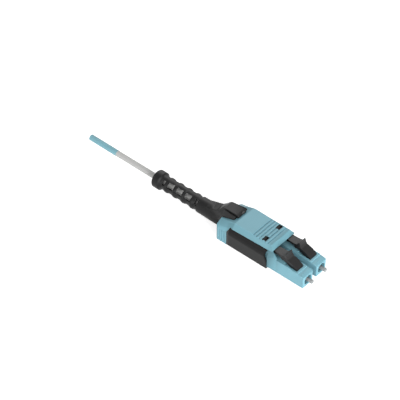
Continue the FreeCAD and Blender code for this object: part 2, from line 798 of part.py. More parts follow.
def boot():
    """The black boot: collar, lattice strain relief, barrel, and the pull tab that joins the cover."""
    body = new_body("boot")
    turn(body, "Revolution", [
        (-(s.cover_end_at + s.fit_gap), 0),
        (-(s.cover_end_at + s.fit_gap), s.barrel_radius),
        (-(s.taper_at - 4), s.barrel_radius),
        (-s.taper_at, (s.barrel_radius + s.sleeve_radius) / 2),
        (-s.collar_at, s.sleeve_radius),
        (-s.collar_at, s.collar_radius - s.collar_bevel),
        (-(s.collar_at + s.collar_bevel), s.collar_radius),
        (-(s.connector_length - s.collar_bevel), s.collar_radius),
        (-s.connector_length, s.collar_radius - s.collar_bevel),
        (-s.connector_length, 0),
    ])
    wing_root = s.cover_end_at + s.fit_gap
    under = s.rim_side_height + 0.25 + s.fit_gap
    step_under = s.ledge_height + 3 * s.fit_gap
    wing_end = wing_root + 4.4
    wings = outline(body, "XY_Plane", [
        (-s.wing_front_at, -(s.wing_half_width - 0.1)),
        (-s.wing_front_at, s.wing_half_width - 0.1),
        (-(s.wing_front_at + 0.1), s.wing_half_width),
        (-(wing_root + 0.6), s.wing_half_width),
        (-wing_end, s.tab_half_width),
        (-wing_end, -s.tab_half_width),
        (-(wing_root + 0.6), -s.wing_half_width),
        (-(s.wing_front_at + 0.1), -s.wing_half_width),
    ], at=s.barrel_radius / 2)
    extrude(body, "Pad", wings, s.tab_height)
    above = outline(body, "XZ_Plane", [
        (-(s.wing_front_at - 1), s.wing_height),
        (-(s.tab_rear_at - 0.6), s.wing_height),
        (-(s.tab_rear_at + 0.2), s.wing_height - 0.65),
        (-s.saddle_at, s.saddle_height - 0.3),
        (-(s.saddle_at + 2), s.saddle_height - 1.6),
        (-(wing_root + 5), s.barrel_radius - 0.6),
        (-(wing_root + 5), 2 * s.tab_height),
        (-(s.wing_front_at - 1), 2 * s.tab_height),
    ])
    extrude(body, "Pocket", above, 3 * s.wing_half_width, both=True)
    back = 5
    fall = (s.wing_height - s.wing_edge_height) / (s.wing_half_width - s.wing_flat_half_width)
    high = s.wing_height - back * s.wing_rise
    for hand in (1, -1):
        shoulder = outline(body, "YZ_Plane", [
            (hand * s.wing_flat_half_width, high),
            (hand * (s.wing_half_width + 0.5), high - (s.wing_half_width + 0.5 - s.wing_flat_half_width) * fall),
            (hand * (s.wing_half_width + 2), high - (s.wing_half_width + 0.5 - s.wing_flat_half_width) * fall),
            (hand * (s.wing_half_width + 2), 2 * s.tab_height),
            (hand * s.wing_flat_half_width, 2 * s.tab_height),
        ], at=-(wing_root + back))
        cut = extrude(body, "Pocket", shoulder, wing_root + back - s.wing_front_at + 1)
        cut.UseCustomVector = True
        cut.Direction = FreeCAD.Vector(-1, 0, -size(s.wing_rise))
        cut.AlongSketchNormal = True
        doc.recompute()
    below = outline(body, "XZ_Plane", [
        (-wing_root, 0),
        (-wing_root, under),
        (-(s.panel_rear_at + 2 * s.fit_gap), under),
        (-(s.panel_rear_at + 2 * s.fit_gap), step_under),
        (-(s.wing_front_at - 1), step_under),
        (-(s.wing_front_at - 1), 0),
    ])
    extrude(body, "Pocket", below, 3 * s.wing_half_width, both=True)
    neck = new_sketch(body, "YZ_Plane", at=-(s.cover_end_at + 1))
    ring(neck, s.neck_hole_radius - s.fit_gap)
    extrude(body, "Pad", neck, s.ring_end_wall + 1.5)
    flange = outline(body, "YZ_Plane", box_points(
        -s.wing_half_width, s.wing_half_width,
        -(s.ring_depth - s.ring_floor - 2 * s.fit_gap), s.rim_height - 0.8),
        at=-(s.cover_end_at - s.ring_end_wall - s.fit_gap))
    extrude(body, "Pad", flange, 0.8)
    saddle = s.saddle_end_at - s.saddle_at
    tab = outline(body, "XZ_Plane", [
        (-s.tab_front_at, s.ledge_height + 0.7),
        (-s.tab_front_at, s.tab_height - 0.25),
        (-(s.tab_front_at + 0.9), s.tab_height),
        (-(s.tab_rear_at - 1.6), s.tab_height),
        (-(s.tab_rear_at - 0.5), s.tab_height - 0.25),
        (-s.tab_rear_at, s.tab_height - 0.6),
        (-(s.tab_rear_at + 0.8), s.saddle_height + 0.8),
        (-s.saddle_at, s.saddle_height),
        (-(s.saddle_at + saddle / 6), s.saddle_height - 0.8),
        (-(s.saddle_at + saddle * 0.37), s.saddle_height - 1.3),
        (-(s.saddle_at + saddle * 0.67), s.saddle_height - 1.85),
        (-s.saddle_end_at, s.barrel_radius - 0.7),
        (-s.saddle_end_at, s.boot_bore_radius + 0.2),
        (-(wing_root + 0.3), s.boot_bore_radius + 0.2),
        (-(wing_root + 0.3), s.rim_height - 0.6),
        (-(s.wing_front_at + 0.6), s.ledge_height + 0.7),
    ])
    extrude(body, "Pad", tab, 2 * s.tab_half_width, both=True)
    for hand in (1, -1):
        side_groove = outline(body, "XZ_Plane", box_points(
            -(wing_root - 0.1), -(s.wing_front_at - 1),
            s.wing_height - s.tab_groove_depth, s.tab_height + 1), at=-hand * s.tab_half_width)
        extrude(body, "Pocket", side_groove, s.tab_groove_width, up=hand < 0)
    notch = outline(body, "XY_Plane", box_points(
        -(s.tab_front_at + 0.5), -(s.tab_front_at - 1), -0.05, 0.55), at=s.tab_height - 0.9)
    extrude(body, "Pocket", notch, 1)
    turn(body, "Groove", [
        (-(s.panel_rear_at - 1), 0),
        (-(s.panel_rear_at - 1), s.boot_bore_radius),
        (-(s.taper_at - 0.5), s.boot_bore_radius),
        (-(s.taper_at + 0.5), s.sleeve_bore_radius),
        (-(s.collar_at + 0.5), s.sleeve_bore_radius),
        (-(s.collar_at + 1), s.collar_bore_radius),
        (-(s.connector_length + 1), s.collar_bore_radius),
        (-(s.connector_length + 1), 0),
    ])
    lattice = new_sketch(body, "XY_Plane")
    lattice.AttachmentOffset = FreeCAD.Placement(
        FreeCAD.Vector(), FreeCAD.Rotation(FreeCAD.Vector(1, 0, 0), 45))
    half = s.opening_width / 2
    for step in range(3):
        line = s.lattice_at + step * s.lattice_pitch
        draw(lattice, box_points(
            -(line + s.opening_length / 2), -(line - s.opening_length / 2), -half, half))
    for line, reach in (
            (s.lattice_at - s.lattice_pitch, half),
            (s.collar_at - 1.35, s.round_opening_width / 2)):
        draw(lattice, box_points(
            -(line + s.end_opening_length / 2), -(line - s.end_opening_length / 2), -reach, reach))
    openings = extrude(body, "Pocket", lattice, s.collar_radius + 1)
    around = body.newObject("PartDesign::PolarPattern", "around")
    around.Originals = [openings]
    around.Axis = (origin_feature(body, "X_Axis"), [""])
    around.Angle = 360
    around.Occurrences = 4
    body.Tip = around
    doc.recompute()


def crimp_parts():
    """The post in the body's neck, the strength yarn on it and the crimp sleeve over both."""
    post = new_body("crimp_post")
    inside = s.panel_rear_at - s.rear_wall - s.fit_gap
    turn(post, "Revolution", [
        (-(inside - s.post_flange_thickness), s.post_bore_radius),
        (-(inside - s.post_flange_thickness), s.post_flange_radius),
        (-inside, s.post_flange_radius),
        (-inside, s.post_radius),
        (-s.post_end_at, s.post_radius),
        (-s.post_end_at, s.post_bore_radius),
    ])
    yarn = new_body("strength_yarn")
    turn(yarn, "Revolution", [
        (-(s.crimp_at + 0.4), s.post_radius + s.fit_gap / 3),
        (-(s.crimp_at + 0.4), s.post_radius + s.yarn_thickness),
        (-(s.post_end_at - 0.2), s.post_radius + s.yarn_thickness),
        (-(s.post_end_at - 0.2), s.post_radius + s.fit_gap / 3),
    ])
    sleeve = new_body("crimp_sleeve")
    wide = s.post_radius + s.yarn_thickness + s.fit_gap / 3
    narrow = s.cable_radius + s.fit_gap / 3
    turn(sleeve, "Revolution", [
        (-s.crimp_at, wide),
        (-s.crimp_at, wide + s.crimp_thickness),
        (-s.crimp_step_at, wide + s.crimp_thickness),
        (-(s.crimp_step_at + 0.6), narrow + s.crimp_thickness),
        (-s.crimp_end_at, narrow + s.crimp_thickness),
        (-s.crimp_end_at, narrow),
        (-(s.crimp_step_at + 0.5), narrow),
        (-(s.crimp_step_at - 0.1), wide),
    ])


def cable():
    """The stub of round cable: a white inner tube, and the aqua jacket at its cut end."""
    tube = new_body("cable_inner_tube")
    turn(tube, "Revolution", [
        (-(s.post_end_at + s.fit_gap), 0),
        (-(s.post_end_at + s.fit_gap), s.cable_radius),
        (-s.jacket_at, s.cable_radius),
        (-s.jacket_at, 0),
    ])
    jacket = new_body("cable_jacket")
    turn(jacket, "Revolution", [
        (-s.jacket_at, 0),
        (-s.jacket_at, s.jacket_radius),
        (-s.cable_end_at, s.jacket_radius),
        (-s.cable_end_at, 0),
    ])


def fibre(label, side):
    """A coated fibre from the cable through the post, bent across the cavity and into its ferrule."""
    near = side * size(s.fibre_spacing / 2)
    far = side * size(s.plug_pitch / 2)
    stations = [
        (-size(s.post_end_at), near),
        (-size(s.fibre_join_at), near),
        (-size(s.fibre_bend_at), far),
        (-size(s.ferrule_length + s.ferrule_travel + 4 * s.fit_gap), far),
    ]
    points = [FreeCAD.Vector(along, across, 0) for along, across in stations]
    edges = []
    last = points[0]
    for before, corner, after in zip(points, points[1:], points[2:]):
        back = (before - corner).normalize()
        ahead = (after - corner).normalize()
        reach = 0.45 * min((points[2] - points[1]).Length, (after - corner).Length)
        enter = corner + back * reach
        leave = corner + ahead * reach
        half_turn = back.getAngle(ahead) / 2
        bisector = (back + ahead).normalize()
        radius = reach * math.tan(half_turn)
        centre = corner + bisector * (reach / math.cos(half_turn))
        peak = centre - bisector * radius
        edges.append(Part.LineSegment(last, enter).toShape())
        edges.append(Part.Arc(enter, peak, leave).toShape())
        last = leave
    edges.append(Part.LineSegment(last, points[-1]).toShape())
    path = Part.Wire(edges)
    section = polygon(s.fibre_radius, 6)
    section.translate(points[0])
    strand = doc.addObject("Part::Feature", label)
    strand.Label = label
    strand.Shape = path.makePipeShell([section], True, True)
    place(strand)
    parts.append(strand)


for hand, side in (("left", 1), ("right", -1)):
    plug_housing(f"plug_housing_{hand}", side)
    ferrule(f"ferrule_{hand}", side)
    ferrule_flange(f"ferrule_flange_{hand}", side)
    ferrule_spring(f"ferrule_spring_{hand}", side)
    spring_stop(f"spring_stop_{hand}", side)
    latch(f"latch_{hand}", side)
    fibre(f"fibre_{hand}", side)
body_base()
body_lid()
release_cover()
boot()
crimp_parts()
cable()
doc.recompute()

for item in doc.Objects:
    if {"Invalid", "Error"} & set(item.State):
        raise RuntimeError(f"{item.Label} ({item.Name}) did not build: {item.State}")
for item in parts:
    if item.Shape.isNull() or not item.Shape.isValid() or len(item.Shape.Solids) != 1:
        raise RuntimeError(f"{item.Label} is not one valid solid")

os.makedirs("parts", exist_ok=True)
for item in parts:
    item.Shape.exportStep(f"parts/{item.Label}.step")
    box = item.Shape.BoundBox
    print(f"{item.Label}: {item.Shape.Volume:.2f} mm3, x {box.XMin:.2f} to {box.XMax:.2f}, "
          f"y {box.YMin:.2f} to {box.YMax:.2f}, z {box.ZMin:.2f} to {box.ZMax:.2f}")
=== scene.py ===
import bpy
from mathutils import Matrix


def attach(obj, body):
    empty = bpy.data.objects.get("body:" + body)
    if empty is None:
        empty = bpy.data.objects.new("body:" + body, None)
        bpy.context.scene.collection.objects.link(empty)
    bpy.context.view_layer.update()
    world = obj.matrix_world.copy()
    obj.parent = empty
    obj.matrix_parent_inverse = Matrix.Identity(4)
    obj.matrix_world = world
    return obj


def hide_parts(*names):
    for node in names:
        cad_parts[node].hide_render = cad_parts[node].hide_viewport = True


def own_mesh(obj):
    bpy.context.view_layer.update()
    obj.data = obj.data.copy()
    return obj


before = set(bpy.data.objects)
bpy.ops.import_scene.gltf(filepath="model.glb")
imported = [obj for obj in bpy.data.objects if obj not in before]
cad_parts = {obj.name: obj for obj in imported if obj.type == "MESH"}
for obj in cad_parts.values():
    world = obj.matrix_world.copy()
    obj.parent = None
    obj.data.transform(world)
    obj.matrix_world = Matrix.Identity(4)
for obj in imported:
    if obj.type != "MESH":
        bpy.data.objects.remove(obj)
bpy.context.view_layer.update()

import math

import bmesh
import bpy
from mathutils import Vector

# --- Camera -------------------------------------------------------------------------------
# A long lens looks down over the right-hand front corner of the connector, so that the
# latches, the grooved cover and the whole boot are seen at once.
camera_data = bpy.data.cameras.new("camera")
camera_data.sensor_width = 36.0
camera_data.lens = 139.86
camera_data.clip_start = 0.01
camera_data.clip_end = 20.0
camera = bpy.data.objects.new("camera", camera_data)
bpy.context.collection.objects.link(camera)
turn = math.radians(41.2)
tilt = math.radians(43.76)
line_of_sight = Vector((math.sin(turn) * math.cos(tilt), -math.cos(turn) * math.cos(tilt),
                        math.sin(tilt)))
camera.rotation_euler = line_of_sight.to_track_quat("Z", "Y").to_euler()
camera.location = (0.209965, -0.256069, 0.33047)
bpy.context.scene.camera = camera

# --- Cable --------------------------------------------------------------------------------
# A stub of 2 mm round cable: a smooth white inner tube that leaves the crimp sleeve inside
# the boot, and the extruded aqua jacket that still covers it at its cut end. It is stiff, and
# rises a little on its way back.
axis_height = 0.00297
tip_at = 0.0318
tube_front = tip_at - 0.0420
tube_bend = -0.020
jacket_front = tip_at - 0.0804
cable_end = tip_at - 0.0919
tube_radius = 0.00095
jacket_radius = 0.0010
jacket_rise = 0.00016
end_rise = 0.00025
jacket_overhang = 0.00002
cloud_scale = 260.0
gloss_spread = 0.12
bump_strength = 0.5
# edges are painted this much lighter where no edge colour is given, partly wear and partly a
# painted highlight
edge_wear_and_highlight_lift = 1.3


def feed(tree, value, socket):
    """Gives a socket a plain value, or the result of another node."""
    if isinstance(value, bpy.types.NodeSocket):
        tree.links.new(value, socket)
    else:
        socket.default_value = value


def calculate(tree, operation, *values, clamp=False):
    """A sum of sockets and plain numbers: the socket with its result."""
    step = tree.nodes.new("ShaderNodeMath")
    step.operation = operation
    step.use_clamp = clamp
    for value, socket in zip(values, step.inputs):
        feed(tree, value, socket)
    return step.outputs[0]


def dot_product(tree, one, other):
    """How far one direction reaches along another: the socket with the result."""
    step = tree.nodes.new("ShaderNodeVectorMath")
    step.operation = "DOT_PRODUCT"
    feed(tree, one, step.inputs[0])
    feed(tree, other, step.inputs[1])
    return step.outputs["Value"]


def mix_into(tree, mask, low, high, target):
    """Feeds a colour socket with low where the mask is 0 and high where it is 1."""
    mix = tree.nodes.new("ShaderNodeMix")
    mix.data_type = "RGBA"
    feed(tree, mask, mix.inputs["Factor"])
    colours = [socket for socket in mix.inputs if socket.type == "RGBA"]
    feed(tree, low, colours[0])
    feed(tree, high, colours[1])
    result = [socket for socket in mix.outputs if socket.type == "RGBA"][0]
    tree.links.new(result, target)


def noise(tree, place, scale, detail):
    """A cloudy pattern from 0 to 1: the socket with its value."""
    pattern = tree.nodes.new("ShaderNodeTexNoise")
    feed(tree, place, pattern.inputs["Vector"])
    feed(tree, scale, pattern.inputs["Scale"])
    feed(tree, detail, pattern.inputs["Detail"])
    return pattern.outputs["Fac"]


def node_group(name, inputs, outputs):
    """An empty node group with its named sockets, its input node and its output node."""
    group = bpy.data.node_groups.new(name, "ShaderNodeTree")
    for direction, sockets in (("INPUT", inputs), ("OUTPUT", outputs)):
        for label, kind in sockets.items():
            group.interface.new_socket(label, in_out=direction, socket_type=f"NodeSocket{kind}")
    return group, group.nodes.new("NodeGroupInput"), group.nodes.new("NodeGroupOutput")


def surface_grain():
    """Fine moulded or extruded grain: its height, and a slow drift of shade and gloss."""
    group, given, out = node_group(
        "surface grain",
        {"Base Color": "Color", "Grain size": "Float", "Drift": "Float", "Roughness": "Float"},
        {"Color": "Color", "Roughness": "Float", "Height": "Float"})
    place = group.nodes.new("ShaderNodeTexCoord").outputs["Object"]
    grain = noise(group, place, scale=given.outputs["Grain size"], detail=3.0)
    cloud = noise(group, place, scale=cloud_scale, detail=2.0)
    centred = calculate(group, "SUBTRACT", cloud, 0.5)
    share = calculate(group, "MULTIPLY_ADD", centred, given.outputs["Drift"], 1.0)
    shaded = group.nodes.new("ShaderNodeVectorMath")
    shaded.operation = "SCALE"
    feed(group, given.outputs["Base Color"], shaded.inputs[0])
    feed(group, share, shaded.inputs["Scale"])
    gloss = calculate(group, "MULTIPLY_ADD", grain, gloss_spread, given.outputs["Roughness"])
    feed(group, shaded.outputs[0], out.inputs["Color"])
    feed(group, gloss, out.inputs["Roughness"])
    feed(group, grain, out.inputs["Height"])
    return group


def edge_wear_and_highlight_mask():
    """Edges painted lighter, partly handling wear and partly a painted highlight: a mask, 1 on
    an edge.
    """
    group, given, out = node_group(
        "edge wear and painted highlight", {"Rounded normal": "Vector", "Strength": "Float"}, {"Mask": "Float"})
    surface = group.nodes.new("ShaderNodeNewGeometry")
    level = dot_product(group, given.outputs["Rounded normal"], surface.outputs["Normal"])
    bent = calculate(group, "SUBTRACT", 1.0, level)
    mask = calculate(group, "MULTIPLY", bent, given.outputs["Strength"], clamp=True)
    feed(group, mask, out.inputs["Mask"])
    return group


def finish(name, colour, roughness, grain=9000.0, drift=0.12, relief=0.000006, specular=0.5,
           edge=None, edge_colour=None, wear_and_highlight=3.0, metallic=0.0):
    """A material with a Principled shader, fed by the grain and by edges painted lighter as wear
    and a painted highlight.
    """
    material = bpy.data.materials.new(name)
    material.use_nodes = True
    tree = material.node_tree
    shader = tree.nodes["Principled BSDF"]
    shader.inputs["Specular IOR Level"].default_value = specular
    shader.inputs["Metallic"].default_value = metallic
    grained = tree.nodes.new("ShaderNodeGroup")
    grained.node_tree = bpy.data.node_groups.get("surface grain") or surface_grain()
    grained.inputs["Grain size"].default_value = grain
    grained.inputs["Base Color"].default_value = (*colour, 1.0)
    grained.inputs["Drift"].default_value = drift
    grained.inputs["Roughness"].default_value = roughness
    feed(tree, grained.outputs["Color"], shader.inputs["Base Color"])
    feed(tree, grained.outputs["Roughness"], shader.inputs["Roughness"])
    bump = tree.nodes.new("ShaderNodeBump")
    bump.inputs["Strength"].default_value = bump_strength
    bump.inputs["Distance"].default_value = relief
    feed(tree, grained.outputs["Height"], bump.inputs["Height"])
    feed(tree, bump.outputs["Normal"], shader.inputs["Normal"])
    if edge:
        rounded = tree.nodes.new("ShaderNodeBevel")
        rounded.samples = 6
        rounded.inputs["Radius"].default_value = edge
        feed(tree, rounded.outputs["Normal"], bump.inputs["Normal"])
        edge_wear_and_highlight = tree.nodes.new("ShaderNodeGroup")
        edge_wear_and_highlight.node_tree = bpy.data.node_groups.get("edge wear and painted highlight") or edge_wear_and_highlight_mask()
        edge_wear_and_highlight.inputs["Strength"].default_value = wear_and_highlight
        feed(tree, rounded.outputs["Normal"], edge_wear_and_highlight.inputs["Rounded normal"])
        # edges painted lighter: partly wear, partly a painted highlight where rounded edges
        # catch the light
        pale = edge_colour or [min(1.0, edge_wear_and_highlight_lift * part) for part in colour]
        mix_into(tree, edge_wear_and_highlight.outputs["Mask"], grained.outputs["Color"], (*pale, 1.0),
                 shader.inputs["Base Color"])
    return material


def straight_tube(name, points, radius, material):
    """A round tube along a smooth spline with closed ends."""
    curve = bpy.data.curves.new(name, "CURVE")
    curve.dimensions = "3D"
    curve.bevel_depth = radius
    curve.bevel_resolution = 8
    curve.use_fill_caps = True
    spline = curve.splines.new("NURBS")
    spline.points.add(len(points) - 1)
    for point, place in zip(spline.points, points):
        point.co = (*place, 1.0)
    spline.order_u = 3
    spline.use_endpoint_u = True
    spline.resolution_u = 12
    curve.materials.append(material)
    tube = bpy.data.objects.new(name, curve)
    bpy.context.collection.objects.link(tube)
    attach(tube, "frame")
    return tube


white_tube = finish("white_tube", (0.47, 0.47, 0.46), 0.40, grain=5000.0, drift=0.08,
                    specular=0.4)
aqua_jacket = finish("aqua_jacket", (0.19, 0.395, 0.46), 0.45, grain=7000.0, drift=0.10,
                     specular=0.4)
inner_tube = straight_tube("inner_tube", [
    (tube_front, 0, axis_height),
    (tube_bend, 0, axis_height),
    (jacket_front, 0, axis_height + jacket_rise),
    (cable_end, 0, axis_height + end_rise)], tube_radius, white_tube)
jacket = straight_tube("jacket", [
    (jacket_front, 0, axis_height + jacket_rise),
    ((jacket_front + cable_end) / 2, 0, axis_height + (jacket_rise + end_rise) / 2),
    (cable_end - jacket_overhang, 0, axis_height + end_rise)],
    jacket_radius, aqua_jacket)
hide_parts("cable_inner_tube")
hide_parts("cable_jacket")

# --- Black body ---------------------------------------------------------------------------
# The tray and its lid are injection moulded in black nylon and snap together round the two
# plugs and the fibres. The tray's sides are spark-eroded to a grey satin that holds a grip.
# The sloped rim above them is painted darker, a painted shade, and the rear bevel is painted
# lighter, a painted highlight.
rim_bottom = 0.0050
rear_bevel_highlight_at = tip_at - 0.0294
upwards = (0, 0, 1)
rearwards = (-1, 0, 0)


def dress(node, material):
    """Gives a solid its finish."""
    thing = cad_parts[node]
    thing.data.materials.clear()
    thing.data.materials.append(material)


def painted_shading_zone():
    """A zone painted lighter or darker as painted light or shade, measured along an axis and the
    same on both sides: a mask.
    """
    group, given, out = node_group(
        "painted shading zone", {"Axis": "Vector", "From": "Float", "Softness": "Float"},
        {"Mask": "Float"})
    place = group.nodes.new("ShaderNodeTexCoord").outputs["Object"]
    split = group.nodes.new("ShaderNodeSeparateXYZ")
    feed(group, place, split.inputs[0])
    halved = group.nodes.new("ShaderNodeCombineXYZ")
    feed(group, split.outputs["X"], halved.inputs["X"])
    feed(group, calculate(group, "ABSOLUTE", split.outputs["Y"]), halved.inputs["Y"])
    feed(group, split.outputs["Z"], halved.inputs["Z"])
    along = dot_product(group, halved.outputs[0], given.outputs["Axis"])
    beyond = calculate(group, "SUBTRACT", along, given.outputs["From"])
    mask = calculate(group, "DIVIDE", beyond, given.outputs["Softness"], clamp=True)
    feed(group, mask, out.inputs["Mask"])
    return group


def add_painted_shading(material, axis, start, softness, colour):
    """Paints a finish lighter or darker beyond a place on an axis, as painted light or shade."""
    tree = material.node_tree
    base = tree.nodes["Principled BSDF"].inputs["Base Color"]
    zone = tree.nodes.new("ShaderNodeGroup")
    zone.node_tree = bpy.data.node_groups.get("painted shading zone") or painted_shading_zone()
    zone.inputs["Axis"].default_value = axis
    zone.inputs["From"].default_value = start
    zone.inputs["Softness"].default_value = softness
    mix_into(tree, zone.outputs["Mask"], base.links[0].from_socket, (*colour, 1.0), base)


body_nylon = finish("body_nylon", (0.0215, 0.022, 0.022), 0.48, drift=0.18, relief=0.00001,
                    specular=0.18, edge=0.00012, edge_colour=(0.05, 0.05, 0.051), wear_and_highlight=2.0)
# painted shade: the tray's sloped rim is painted darker
add_painted_shading(body_nylon, upwards, rim_bottom, softness=0.0003, colour=(0.0025, 0.0026, 0.0027))
# painted highlight: the tray's rear bevel is painted lighter
add_painted_shading(body_nylon, rearwards, -rear_bevel_highlight_at, softness=0.0002, colour=(0.045, 0.0455, 0.0455))
black_nylon = finish("black_nylon", (0.012, 0.012, 0.012), 0.42, drift=0.15, specular=0.3,
                     edge=0.00010, edge_colour=(0.03, 0.03, 0.03))
dress("body_base", body_nylon)
for node in ("body_lid", "spring_stop_left", "spring_stop_right"):
    dress(node, black_nylon)

# --- Plugs --------------------------------------------------------------------------------
# Two square aqua plug housings, each moulded in one piece of a hard aqua resin and pressed
# into the front of the body. Each is painted darker towards the shoulder at its rear, a
# painted shade.
shoulder_shade_axis = (-1, 0.9, 0.35)
shoulder_shade_start = -0.0156
aqua_resin = finish("aqua_resin", (0.188, 0.400, 0.475), 0.36, grain=8000.0, drift=0.07,
                    relief=0.000005, specular=0.27, edge=0.00014,
                    edge_colour=(0.23, 0.46, 0.54), wear_and_highlight=1.6)
plug_resin_painted_shade = aqua_resin.copy()
plug_resin_painted_shade.name = "plug_resin_painted_shade"
# painted shade: each plug is painted darker towards its rear shoulder
add_painted_shading(plug_resin_painted_shade, shoulder_shade_axis, shoulder_shade_start, softness=0.0050,
         colour=(0.095, 0.205, 0.242))
for hand in ("left", "right"):
    dress(f"plug_housing_{hand}", plug_resin_painted_shade)

# --- Latches ------------------------------------------------------------------------------
# A black sprung arm on each plug, moulded in tough nylon, with two catches, a nub and a
# finger that reaches back under the cover. The front of the nub's top is painted lighter, a
# painted highlight, and the root of the finger is painted darker, a painted shadow of the
# cover's lip.
plug_offset = 0.003125
finger_half = 0.00108
nub_half = 0.00140
nub_start = 0.0076
nub_stop = 0.0110
nub_floor = 0.0070
nub_highlight_bottom = 0.0074
nub_highlight_rear = tip_at - 0.0094
lip_shade_front = tip_at - 0.01245
# the toe's long facet: (distance behind the tips, height over the table) at its two ends
toe_facet = [(0.00480, 0.00570), (0.00630, 0.00678)]
weld_distance = 0.0000005
same_place = 0.00003
latch_nylon = finish("latch_nylon", (0.008, 0.008, 0.0083), 0.34, drift=0.15, specular=0.30,
                     edge=0.00010, edge_colour=(0.03, 0.03, 0.031))
# painted highlight: the nub's top is painted lighter
add_painted_shading(latch_nylon, upwards, nub_highlight_bottom, softness=0.0002, colour=(0.017, 0.017, 0.0174))
# the painted highlight stops behind the front of the nub, in the arm's own colour
add_painted_shading(latch_nylon, rearwards, -nub_highlight_rear, softness=0.0002, colour=(0.008, 0.008, 0.0083))
# painted shadow: the finger's root under the cover's lip is painted darker
add_painted_shading(latch_nylon, rearwards, -lip_shade_front, softness=0.0007,
         colour=(0.002, 0.002, 0.0021))


def cut_copy(node, stations):
    """A working copy of a solid, cut across the connector at distances behind the tips."""
    shape = bmesh.new()
    shape.from_mesh(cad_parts[node].data)
    bmesh.ops.remove_doubles(shape, verts=shape.verts, dist=weld_distance)
    for station in stations:
        bmesh.ops.bisect_plane(
            shape, geom=shape.verts[:] + shape.edges[:] + shape.faces[:], dist=weld_distance,
            plane_co=(tip_at - station, 0, 0), plane_no=(1, 0, 0))
    return shape


def stand_for(node, shape, name, material, body, crease):
    """The finished piece, smooth but for its creases, that stands for a solid."""
    mesh = bpy.data.meshes.new(name)
    shape.to_mesh(mesh)
    shape.free()
    mesh.materials.append(material)
    piece = bpy.data.objects.new(name, mesh)
    bpy.context.collection.objects.link(piece)
    bpy.context.view_layer.objects.active = piece
    piece.select_set(True)
    bpy.ops.object.shade_smooth_by_angle(angle=math.radians(crease))
    piece.select_set(False)
    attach(piece, body)
    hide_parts(node)
    return piece


def toe_top(behind_tips):
    """The height of the toe's facet at a distance behind the tips."""
    (near, low), (far, high) = toe_facet
    if behind_tips > far:
        return math.inf
    return low + (high - low) * max(0.0, behind_tips - near) / (far - near)


for hand, side in (("left", 1), ("right", -1)):
    arm = cut_copy(f"latch_{hand}", [toe_facet[1][0]])
    for vertex in arm.verts:
        behind = tip_at - vertex.co.x
        vertex.co.z = min(vertex.co.z, toe_top(behind))
        across = vertex.co.y - side * plug_offset
        on_nub = nub_start < behind < nub_stop and vertex.co.z > nub_floor
        if on_nub and abs(abs(across) - finger_half) < same_place:
            vertex.co.y = side * plug_offset + math.copysign(nub_half, across)
    stand_for(f"latch_{hand}", arm, f"latch_arm_{hand}", latch_nylon, f"latch_arm_{hand}",
              crease=14)

# --- Ferrules -----------------------------------------------------------------------------
# White zirconia ferrules, ground and polished, pressed into turned steel flanges, each with
# its coil spring. The coated fibre runs back from it. The real coil gives way against its
# stop when the ferrule is pushed in; here each coil is fixed to the frame.
zirconia = finish("zirconia", (0.255, 0.27, 0.275), 0.22, grain=4000.0, drift=0.05,
                  relief=0.000001, edge=0.00008)
turned_steel = finish("turned_steel", (0.45, 0.45, 0.46), 0.30, grain=6000.0, drift=0.1,
                      edge=0.00006, metallic=1.0)
fibre_coat = finish("fibre_coat", (0.45, 0.60, 0.66), 0.30, grain=6000.0)
for hand in ("left", "right"):
    dress(f"ferrule_{hand}", zirconia)
    dress(f"ferrule_flange_{hand}", turned_steel)
    dress(f"fibre_{hand}", fibre_coat)
    spring = f"ferrule_spring_{hand}"
    coil = stand_for(spring, cut_copy(spring, []), f"coil_spring_{hand}", turned_steel,
                     "frame", crease=40)
    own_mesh(coil)

# --- Release cover ------------------------------------------------------------------------
# The aqua cover slides back over the body. It is moulded in the same resin as the plugs,
# with six cross grooves and two windows over the latches' fingers. Its sloped sides, its
# rear slopes and its sloped lip are painted a little darker, a painted shade, and the walls
# of the windows are painted black, a painted shade.
sideways = (0, 1, 0)
forwards = (1, 0, 0)
flat_edge = 0.00434
rear_slope_at = tip_at - 0.0302
lip_slope_at = tip_at - 0.01565
window_at = 0.014
window_half_length = 0.00066
window_half_width = 0.00097
window_shade_black = (0.008, 0.009, 0.009, 1.0)


def window_walls():
    """The two windows' walls, painted black as a painted shade in the holes: a mask, 1 in a
    window.
    """
    group, given, out = node_group(
        "window walls", {"Centre": "Float", "Half length": "Float", "Side centre": "Float",
                         "Half width": "Float"}, {"Mask": "Float"})
    place = group.nodes.new("ShaderNodeTexCoord").outputs["Object"]
    split = group.nodes.new("ShaderNodeSeparateXYZ")
    feed(group, place, split.inputs[0])
    side = calculate(group, "ABSOLUTE", split.outputs["Y"])
    inside = []
    for value, centre, reach in ((split.outputs["X"], "Centre", "Half length"),
                                 (side, "Side centre", "Half width")):
        offset = calculate(group, "SUBTRACT", value, given.outputs[centre])
        distance = calculate(group, "ABSOLUTE", offset)
        inside.append(calculate(group, "LESS_THAN", distance, given.outputs[reach]))
    feed(group, calculate(group, "MULTIPLY", *inside), out.inputs["Mask"])
    return group


cover_resin = aqua_resin.copy()
cover_resin.name = "cover_resin"
# painted shade: the sloped sides beyond the flat top are painted darker
add_painted_shading(cover_resin, sideways, flat_edge, softness=0.0001, colour=(0.158, 0.336, 0.396))
# painted shade: the rear slopes are painted a little darker
add_painted_shading(cover_resin, rearwards, -rear_slope_at, softness=0.0008, colour=(0.180, 0.383, 0.455))
# painted shade: the sloped lip is painted darker
add_painted_shading(cover_resin, forwards, lip_slope_at, softness=0.0003, colour=(0.142, 0.310, 0.368))
